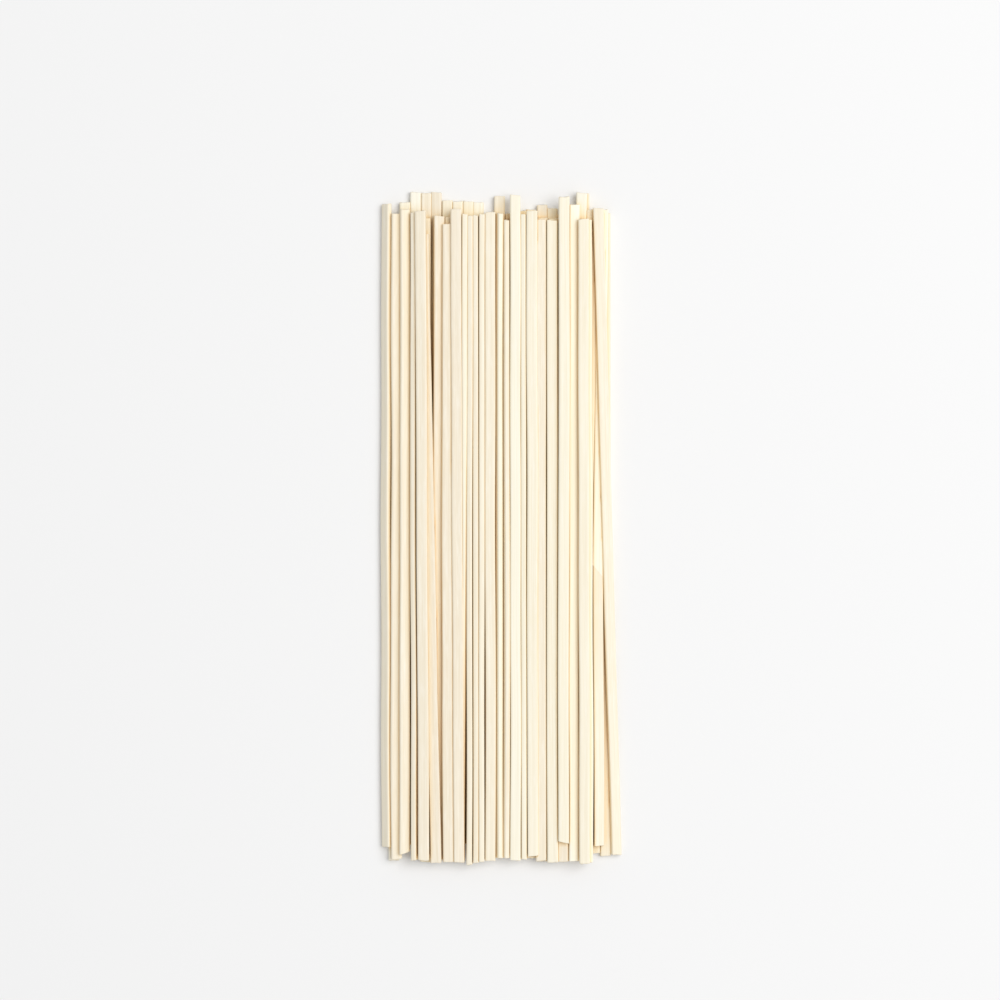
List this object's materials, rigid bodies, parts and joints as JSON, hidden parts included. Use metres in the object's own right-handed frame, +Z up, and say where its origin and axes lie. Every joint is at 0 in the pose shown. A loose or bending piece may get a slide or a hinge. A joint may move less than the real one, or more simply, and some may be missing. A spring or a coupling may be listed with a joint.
{
  "type": "bundle of dried udon noodles",
  "caption": "A loose bundle of straight dried udon noodles lying flat side by side in a low heap, cream coloured and matte, with uneven ends.",
  "frame": {"origin": "on the surface the bundle lies on, below the middle of its box", "axes": "+Y along the noodles toward the heads (the top of the picture), +X to the right of the picture, +Z up"},
  "size_m": [0.0936, 0.2615, 0.009],
  "materials": {
    "dried_noodle": "dry floury matte"
  },
  "bodies": {
    "root": {"noodle_bundle": "dried_noodle"}
  },
  "joints": []
}
